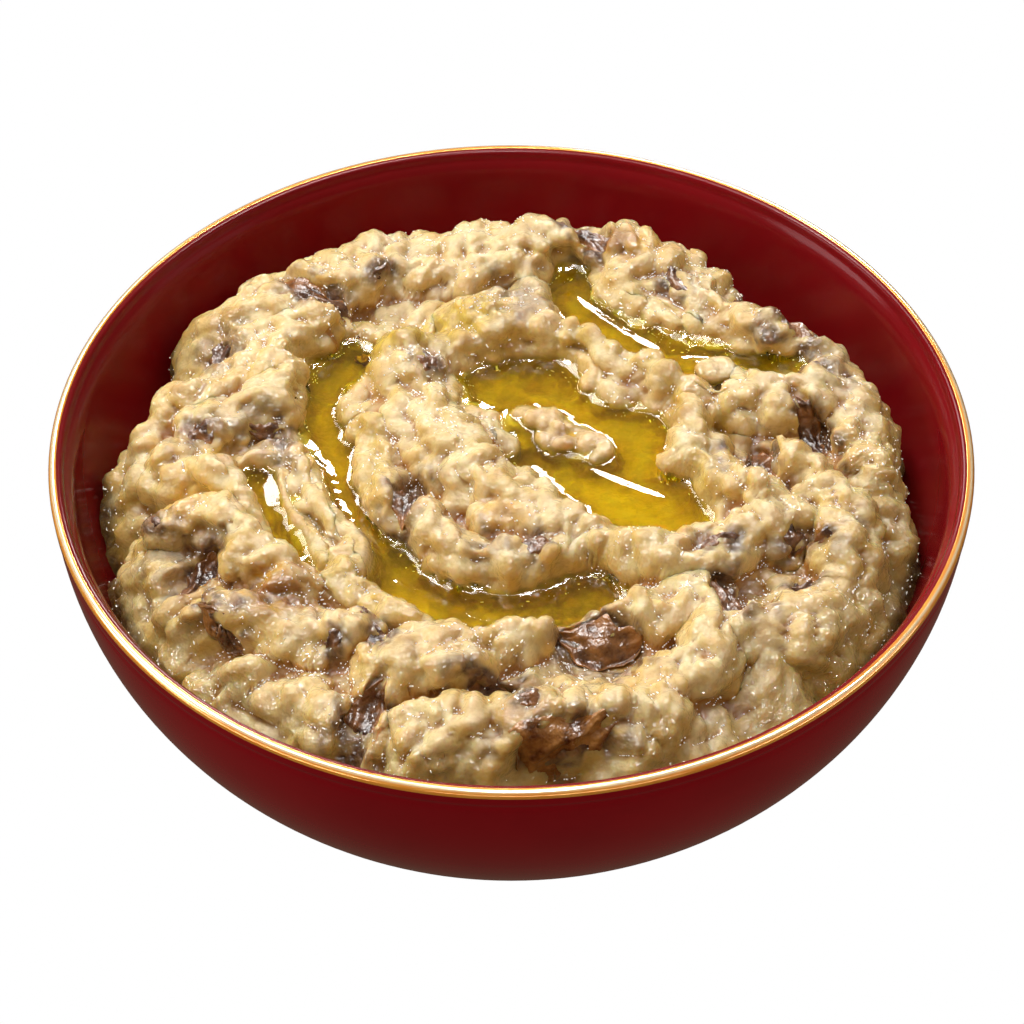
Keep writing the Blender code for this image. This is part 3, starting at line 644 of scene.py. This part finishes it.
# %% Places on the dip
soft_grid = blur(np.stack([dip_x, dip_y, dip_z], -1), 9)
soft_points = soft_grid.reshape(-1, 3)
soft_normals = facing(soft_grid).reshape(-1, 3)
tree = kdtree.KDTree(len(soft_points))
for k, (px, py, pz) in enumerate(soft_points):
    tree.insert((px, py, 0.0), k)
tree.balance()


def ground(x, y, values=soft_points[:, 2]):
    """Softened height of the dip at a place, from its three nearest points."""
    found = tree.find_n((x, y, 0.0), 3)
    weights = [1.0 / (d + 0.05) for _, _, d in found]
    return sum(w * values[k] for w, (_, k, _) in zip(weights, found)) / sum(weights)


def seat(x, y, heading):
    """Middle, two directions along the dip's slope and its normal, at a place on the dip."""
    normal = ground(x, y, soft_normals)
    normal = normal / np.linalg.norm(normal)
    ahead = np.array([math.cos(math.radians(heading)), math.sin(math.radians(heading)), 0.0])
    ahead = ahead - normal * (ahead @ normal)
    ahead /= np.linalg.norm(ahead)
    return np.array([x, y, ground(x, y)]), ahead, np.cross(normal, ahead), normal


print("slope at the front, degrees:", round(math.degrees(math.acos(seat(0, -64, 0)[3][2]))))

# %% Close the dip under its top and write the mesh
# Painted shade: these maps measure how far each point lies below its softened surroundings, and the colour darkens
# there as if in shade.
cavity_map = np.clip(0.5 + (dip_z - blur(dip_z, 70)) / 4.5, 0.0, 1.0)
crease_shade_map = np.clip(0.5 + (dip_z - blur(dip_z, 6)) / 1.0, 0.0, 1.0)
# Painted shade: the steeper the surface, the warmer and darker its colour.
flank_shade_map = 1.0 - facing(blur(np.stack([dip_x, dip_y, dip_z], -1), 1))[..., 2]
valley_shade_map = np.clip(0.5 + (dip_z - blur(dip_z, 24)) / 3.0, 0.0, 1.0)
side = CELLS + 1
index = np.arange(side * side).reshape(side, side)
quads = np.stack([index[:-1, :-1], index[1:, :-1], index[1:, 1:], index[:-1, 1:]], -1).reshape(-1, 4)
border = np.concatenate([index[:-1, 0], index[-1, :-1], index[:0:-1, -1], index[0, :0:-1]])
points = np.stack([dip_x, dip_y, dip_z], -1).reshape(-1, 3)
low_z = 14.0
ring = points[border].copy()
ring[:, :2] *= ((inner_radius(low_z) - 0.5) / np.hypot(ring[:, 0], ring[:, 1]))[:, None]
ring[:, 2] = low_z
first = len(points)
points = np.vstack([points, ring, [[0.0, 0.0, low_z]]])
count = len(border)
faces = quads.tolist()
for i in range(count):
    j = (i + 1) % count
    faces.append((border[j], border[i], first + i, first + j))
    faces.append((first + j, first + i, first + count))


def with_base(grid):
    return np.concatenate([grid.ravel(), np.full(count + 1, 0.5)])


def stains_and_shade(marks, spread=1.0):
    """Map of soft ragged stains or patches of painted shade: each mark is x, y, length, width, heading, strength."""
    here = np.stack([dip_x, dip_y, dip_z], -1)
    sx, sy = dip_x + 0.8 * dip_z, dip_y - 0.8 * dip_z
    ragged_u = 1.2 * swell(sx, sy, 2.3, 81) + 0.8 * swell(sx, sy, 1.1, 83)
    ragged_v = 1.2 * swell(sx, sy, 2.3, 82) + 0.8 * swell(sx, sy, 1.1, 84)
    total = np.zeros(flat_x.shape)
    for x, y, long, wide, heading, strength in marks:
        middle, ahead, across, _ = seat(x, y, heading)
        u, v = (here - middle) @ ahead + ragged_u, (here - middle) @ across + ragged_v
        far = (2.0 * u / (long * spread)) ** 2 + (2.0 * v / (wide * spread)) ** 2
        near = np.hypot(dip_x - x, dip_y - y) < long + 4.0
        total = np.maximum(total, near * strength * step(1.25 - far * 0.85))
    return total


skin_marks = [(x, y, long + 4.5, wide + 4.5, heading, 0.95) for x, y, heading, long, wide, *_ in SKINS]
fleck_marks = [(x, y, long + 3, wide + 3, heading, 0.9) for x, y, long, wide, heading in FLECKS]
maps = {
    "cavity": with_base(cavity_map),
    "valley_shade": with_base(valley_shade_map),
    "flank_shade": with_base(flank_shade_map),
    "contact_shade": with_base(contact_shade_map),
    "crease_shade": with_base(crease_shade_map),
    "wet": with_base(wet_map),
    "film": with_base(film_map),
    # The char map joins real stains round the skins and flecks with the painted shade of SHADES.
    "char": with_base(stains_and_shade(skin_marks + fleck_marks + list(SHADES))),
    "caramel": with_base(stains_and_shade(CARAMEL)),
    "butter": with_base(stains_and_shade(BUTTER)),
}
dip = mesh_object("aubergine_dip", points, faces, ["baba_ganoush"], maps)

mash = Finish("mashed_aubergine")
blotch = mash.noise(75.0, 2.0)
middle = mash.noise(190.0, 1.0)
small = mash.noise(480.0, 2.0)
pale = mash.mix(mash.curve(middle, 0.3, 0.7), (0.63, 0.440, 0.140), (0.72, 0.585, 0.290))
deep_shade = mash.mix(mash.curve(blotch, 0.35, 0.65), (0.26, 0.100, 0.012), (0.44, 0.230, 0.048))
# Painted shade: the colour turns deep brown in broad hollows, and browner still in valleys and creases.
body = mash.mix(mash.curve(mash.attribute("cavity"), 0.10, 0.55), deep_shade, pale)
# Painted shade on steep flanks: warmer brown the steeper the slope.
body = mash.mix(mash.curve(mash.attribute("flank_shade"), 0.15, 0.80, 0.0, 0.4), body, (0.60, 0.335, 0.070))
body = mash.mix(mash.curve(mash.attribute("valley_shade"), 0.12, 0.50, 0.65, 0.0), body, (0.47, 0.215, 0.036))
body = mash.mix(mash.curve(mash.attribute("crease_shade"), 0.12, 0.45, 0.75, 0.0), body, (0.34, 0.122, 0.010))
body = mash.mix(mash.math("MULTIPLY", mash.attribute("butter"), mash.curve(blotch, 0.3, 0.7, 0.5, 1.0)),
                body, (0.72, 0.46, 0.10))
toast = mash.mix(mash.curve(middle, 0.35, 0.65), (0.25, 0.090, 0.004), (0.66, 0.36, 0.010))
body = mash.mix(mash.math("MULTIPLY", mash.attribute("caramel"), mash.curve(small, 0.1, 0.45)), body, toast)
# Soot-dark colour: real char stains, and painted shade where the SHADES patches lie.
soot_and_shade = mash.mix(mash.curve(small, 0.35, 0.7), (0.050, 0.016, 0.007), (0.21, 0.088, 0.030))
body = mash.mix(mash.math("MULTIPLY", mash.attribute("char"), mash.curve(middle, 0.38, 0.56)), body, soot_and_shade)
puddle = mash.mix(mash.curve(small, 0.40, 0.62), (0.265, 0.180, 0.010), (0.200, 0.138, 0.008))
golden = mash.mix(mash.curve(small, 0.35, 0.65), (0.40, 0.250, 0.012), (0.60, 0.420, 0.045))
body = mash.mix(mash.attribute("film"), body, golden)
body = mash.mix(mash.curve(mash.attribute("wet"), 0.2, 1.0, 0.0, 0.75), body, puddle)
# Painted shade: the dip turns near black where it meets the wall.
body = mash.mix(mash.curve(mash.attribute("contact_shade"), 0.2, 1.0, 0.0, 0.85), body, (0.040, 0.018, 0.008))
grain = mash.noise(1100.0, 1.0, 0.6)
body = mash.mix(mash.curve(grain, 0.45, 0.70, 0.0, 0.22), body, (0.42, 0.24, 0.06))
mash.into(body, "Base Color")
mash.set(Subsurface_Weight=0.7, Subsurface_Scale=0.0030, IOR=1.42, Specular_IOR_Level=0.15,
         Coat_Weight=1.0, Coat_Roughness=0.06)
mash.shader.inputs["Subsurface Radius"].default_value = (1.0, 0.52, 0.17)
mash.into(mash.curve(small, 0.3, 0.75, 0.40, 0.60), "Roughness")
soft = mash.bump(small, 0.35, 0.0010)
mash.into(soft, "Normal")
mash.into(mash.bump(grain, 1.0, 0.0010, soft), "Coat Normal")
dip.data.materials.append(mash.material)

# %% [markdown]
# ## The oil
# Oil lies level in the channels and climbs a little where it wets the mash, so each pool has a
# raised rim of about half a millimetre that fades inwards. That rim is found by letting a
# stretched sheet settle: every point moves to a weighted mean of its neighbours.


# %% Oil pools
out_of_dip = facing(np.stack([dip_x, dip_y, dip_z], -1))


def oil_piece(name, level, strokes):
    top = RIM_Z + level
    edge = pool_distance(strokes, dip_x, dip_y)
    near = edge < 5.0
    low = near & (dip_z < top + 1.15)
    inside = low & (edge < 0.5)
    for _ in range(40):
        padded = np.pad(inside, 1)
        inside = low & (inside | padded[:-2, 1:-1] | padded[2:, 1:-1] | padded[1:-1, :-2] | padded[1:-1, 2:])
    rim = near & ~inside
    rise = np.where(rim, 1.15, 0.0)
    pull = (1.6 / (2 * 76.0 / CELLS)) ** 2
    for _ in range(140):
        padded = np.pad(rise, 1)
        total = padded[:-2, 1:-1] + padded[2:, 1:-1] + padded[1:-1, :-2] + padded[1:-1, 2:]
        rise = np.where(inside, pull * total / (1.0 + 4.0 * pull), rise)
    for start, middle, end, height in SWELLS:
        span_x, span_y = end[0] - start[0], end[1] - start[1]
        far_side = span_x * (dip_y - start[1]) - span_y * (dip_x - start[0]) > 0
        along = ((dip_x - start[0]) * span_x + (dip_y - start[1]) * span_y) / (span_x ** 2 + span_y ** 2)
        taper = np.sqrt(np.clip(4.0 * (along + 0.05) * (1.05 - along), 0.0, 1.0))
        away = distance_to(through(start, middle, end), dip_x, dip_y) / np.where(far_side, 1.4, 3.6)
        rise = rise + inside * height * taper * np.exp(-away ** 2)
    corner = inside[:-1, :-1].astype(int) + inside[1:, :-1] + inside[1:, 1:] + inside[:-1, 1:]
    allowed = (near[:-1, :-1] & near[1:, :-1] & near[1:, 1:] & near[:-1, 1:])
    used = np.argwhere((corner > 0) & allowed)
    lookup = {}
    tops = []

    def vertex(i, j):
        if (i, j) not in lookup:
            lookup[i, j] = len(tops)
            place = np.array([dip_x[i, j], dip_y[i, j], top + rise[i, j]])
            if not inside[i, j]:
                place -= 0.5 * out_of_dip[i, j]
                place[2] = min(top + rise[i, j], dip_z[i, j] - 0.3)
            tops.append(tuple(place))
        return lookup[i, j]

    top_faces = [(vertex(i, j), vertex(i + 1, j), vertex(i + 1, j + 1), vertex(i, j + 1)) for i, j in used]
    edges = {}
    for face in top_faces:
        for a, b in zip(face, face[1:] + face[:1]):
            edges[a, b] = edges.get((a, b), 0) + 1
    rim_edges = [(a, b) for a, b in edges if (b, a) not in edges]
    n = len(tops)
    floor = float(dip_z[inside].min()) - 0.8
    points = tops + [(x, y, floor) for x, y, _ in tops]
    faces = top_faces + [tuple(n + k for k in reversed(face)) for face in top_faces]
    faces += [(b, a, a + n, b + n) for a, b in rim_edges]
    return mesh_object(name.replace("oil", "olive_oil"), points, faces, [name])


olive = Finish("olive_oil")
olive.set(Base_Color=(1.0, 1.0, 1.0, 1.0), Roughness=0.02, IOR=1.46, Transmission_Weight=1.0)
absorb = olive.tree.nodes.new("ShaderNodeVolumeAbsorption")
absorb.inputs["Color"].default_value = (0.984, 0.971, 0.0, 1.0)
absorb.inputs["Density"].default_value = 1600.0
olive.link(absorb.outputs["Volume"], olive.output.inputs["Volume"])
shadow = olive.tree.nodes.new("ShaderNodeLightPath")
clear = olive.tree.nodes.new("ShaderNodeBsdfTransparent")
blend = olive.tree.nodes.new("ShaderNodeMixShader")
olive.link(shadow.outputs["Is Shadow Ray"], blend.inputs["Fac"])
olive.link(olive.shader.outputs["BSDF"], blend.inputs[1])
olive.link(clear.outputs["BSDF"], blend.inputs[2])
olive.link(blend.outputs["Shader"], olive.output.inputs["Surface"])
for name, (level, strokes) in POOLS.items():
    pool = oil_piece(name, level, strokes)
    pool.data.materials.append(olive.material)

# %% [markdown]
# ## Charred skin
# Each strip of skin is a thin leathery sheet that lies half sunk in the mash, with its edges
# curled by the heat. It is a grid shaped to a ragged oval and draped on the dip.

# %% Shape of one strip
def peel(number, strip, cells=(34, 16), rise=0.9, sink=1.8, thickness=0.9):
    """Points, quads and edge map of one wrinkled strip of skin, sunk in the mash at its edges."""
    x, y, heading, length, width, across, along = strip
    middle, ahead, aside, normal = seat(x, y, heading)
    nu, nv = cells
    top, edge = [], []
    for i in range(nu + 1):
        u = 2.0 * i / nu - 1.0
        for j in range(nv + 1):
            v = 2.0 * j / nv - 1.0
            taper = math.sqrt(max(0.04, 1.0 - 0.93 * abs(u) ** 2.4))
            ragged = 1.0 + 0.20 * math.sin(4.3 * u + 2.1 * number) + 0.10 * math.sin(11.0 * u + number)
            px = u * length / 2 * (1.0 - 0.08 * v * v)
            py = v * width / 2 * taper * ragged + 0.09 * length * (u * u - 0.4) * math.sin(1.7 * number)
            place = middle + px * ahead + py * aside
            place[2] = ground(place[0], place[1])
            rim = max(abs(u), abs(v)) ** 2.4
            lift = rise - sink * rim
            lift += across * (v * v if across > 0 else v * v - 1) + along * (u * u if along > 0 else u * u - 1)
            wave = 2.0 * math.sin(2.3 * u + number)
            lift += 0.34 * math.sin(5.0 * v + wave) + 0.16 * math.sin(10.0 * v - 6.0 * u + 2.0 * number)
            top.append(place + normal * lift)
            edge.append(rim)
    top = np.array(top)
    bottom = top - normal * thickness
    m, n = nv + 1, len(top)
    faces = []
    for i in range(nu):
        for j in range(nv):
            face = (i * m + j, (i + 1) * m + j, (i + 1) * m + j + 1, i * m + j + 1)
            faces.append(face)
            faces.append(tuple(n + k for k in reversed(face)))
    loop = [i * m for i in range(nu)] + [nu * m + j for j in range(nv)]
    loop += [i * m + nv for i in range(nu, 0, -1)] + [j for j in range(nv, 0, -1)]
    for a, b in zip(loop, loop[1:] + loop[:1]):
        faces.append((b, a, a + n, b + n))
    return np.vstack([top, bottom]), faces, np.tile(edge, 2)


char = Finish("charred_skin")
streak = char.noise(260.0, 3.0, 0.6)
tone = char.mix(char.curve(streak, 0.35, 0.7), (0.050, 0.017, 0.007), (0.28, 0.110, 0.030))
tone = char.mix(char.curve(char.attribute("edge"), 0.35, 1.0, 0.0, 0.8), tone, (0.48, 0.19, 0.035))
fibre = char.mix(char.curve(streak, 0.35, 0.7), (0.20, 0.070, 0.012), (0.50, 0.225, 0.050))
tone = char.mix(char.math("MULTIPLY", char.attribute("amber"), char.curve(streak, 0.25, 0.5)), tone, fibre)
char.into(tone, "Base Color").set(Specular_IOR_Level=0.25, Coat_Weight=0.6, Coat_Roughness=0.06)
char.into(char.curve(streak, 0.3, 0.8, 0.25, 0.45), "Roughness")
grit = char.bump(char.noise(650.0, 2.0), 0.8, 0.0008)
char.into(grit, "Normal").into(grit, "Coat Normal")
AMBER = {1: 0.45, 2: 0.95, 4: 0.4, 12: 0.3}
for number, strip in enumerate(SKINS, start=1):
    strip_points, strip_faces, strip_edge = peel(number, strip)
    name = f"skin_{number:02d}"
    looks = {"edge": strip_edge, "amber": np.full(len(strip_edge), AMBER.get(number, 0.0))}
    piece = mesh_object("charred_" + name, strip_points, strip_faces, [name], looks)
    piece.data.materials.append(char.material)

# %% Flecks of skin, joined in one mesh
fleck_points, fleck_faces, fleck_edge = [], [], []
for number, (x, y, long, wide, heading) in enumerate(FLECKS, start=20):
    some, faces, edge = peel(number, (x, y, heading, long, wide, 0.2, 0.0), (16, 8), 0.6, 1.3, 0.7)
    start = sum(len(p) for p in fleck_points)
    fleck_points.append(some)
    fleck_faces += [tuple(start + k for k in face) for face in faces]
    fleck_edge.append(edge)
flecks = mesh_object("skin_flecks", np.vstack(fleck_points), fleck_faces,
                     attributes={"edge": np.concatenate(fleck_edge)})
flecks.data.materials.append(char.material)

# %% [markdown]
# ## Beads of oil
# Loose oil gathers as tiny beads in the creases of the mash, on the skin and along the wall,
# and they are what makes the dip glisten. They are real domes of about a third of a
# millimetre, all in one mesh, set where the relief is hollow. They are near white and glow a
# little, so each bead is a painted highlight.

# %% Beads of oil
surface = np.stack([dip_x, dip_y, dip_z], -1)
detail = dip_z - blur(dip_z, 4)
tall_ness = np.clip(0.5 + detail / 0.7, 0.0, 1.0)
chance = 0.7 * step((0.42 - tall_ness) / 0.18) * (0.6 + 0.4 * swell(dip_x, dip_y, 5.0, 91))
chance += 0.12 * step(swell(dip_x + dip_z, dip_y, 6.0, 92) * 2.0) + 0.10 * contact_shade_map
for level, strokes in POOLS.values():
    chance *= step((pool_distance(strokes, dip_x, dip_y) + 0.5) / 1.5)
chance *= dip_z > RIM_Z - 24.0
chance *= min(1.0, (9400) / chance.sum())
row, column = np.meshgrid(np.arange(side), np.arange(side), indexing="ij")
seats = np.argwhere(dice(row, column, 93) < chance)
slope_i, slope_j = np.gradient(detail)
turn = 0.5 * np.arctan2(2.0 * blur(slope_i * slope_j, 3), blur(slope_i ** 2 - slope_j ** 2, 3))
crease_way = np.cos(turn)[..., None] * np.gradient(surface, axis=1) - np.sin(turn)[..., None] * np.gradient(surface, axis=0)
ratio = (1.0 + math.sqrt(5.0)) / 2.0
ball = np.array([(-1, ratio, 0), (1, ratio, 0), (-1, -ratio, 0), (1, -ratio, 0), (0, -1, ratio), (0, 1, ratio),
                 (0, -1, -ratio), (0, 1, -ratio), (ratio, 0, -1), (ratio, 0, 1), (-ratio, 0, -1),
                 (-ratio, 0, 1)]) / math.hypot(1.0, ratio)
ball_faces = np.array([(0, 11, 5), (0, 5, 1), (0, 1, 7), (0, 7, 10), (0, 10, 11), (1, 5, 9), (5, 11, 4),
                       (11, 10, 2), (10, 7, 6), (7, 1, 8), (3, 9, 4), (3, 4, 2), (3, 2, 6), (3, 6, 8),
                       (3, 8, 9), (4, 9, 5), (2, 4, 11), (6, 2, 10), (8, 6, 7), (9, 8, 1)])
bead_points, bead_faces = [], []
for number, (i, j) in enumerate(seats):
    normal = out_of_dip[i, j]
    chances = dice(np.array([i, i + 1, j]), np.array([j, j + 2, i + 5]), 94)
    size = 0.08 + 0.11 * chances[0] ** 2
    ahead = crease_way[i, j] + 0.2 * (chances[1] - 0.5) * out_of_dip[i, j]
    ahead = ahead - normal * (ahead @ normal)
    ahead /= np.linalg.norm(ahead) + 1e-9
    stretch = size * (1.0 + 2.4 * chances[2] ** 2)
    shape = ball[:, :1] * ahead * stretch + ball[:, 1:2] * np.cross(normal, ahead) * size + ball[:, 2:] * normal * size
    bead_points.append(surface[i, j] + 0.06 * normal + shape)
    bead_faces.append(ball_faces + 12 * number)
print("beads:", len(seats), "faces:", 20 * len(seats))
beads = mesh_object("painted_glint_beads", np.vstack(bead_points), np.vstack(bead_faces).tolist())
bead = Finish("painted_glint_bead")
# Near-white colour and a faint glow: each bead is a painted highlight.
bead.into(bead.mix(bead.noise(300.0, 1.0), (0.92, 0.88, 0.76), (1.0, 0.98, 0.94)), "Base Color")
bead.set(Roughness=0.15, IOR=1.46, Coat_Weight=1.0, Emission_Strength=0.30)
bead.set(Emission_Color=(1.0, 0.96, 0.88, 1.0))
bead.material.cycles.emission_sampling = "NONE"
beads.data.materials.append(bead.material)
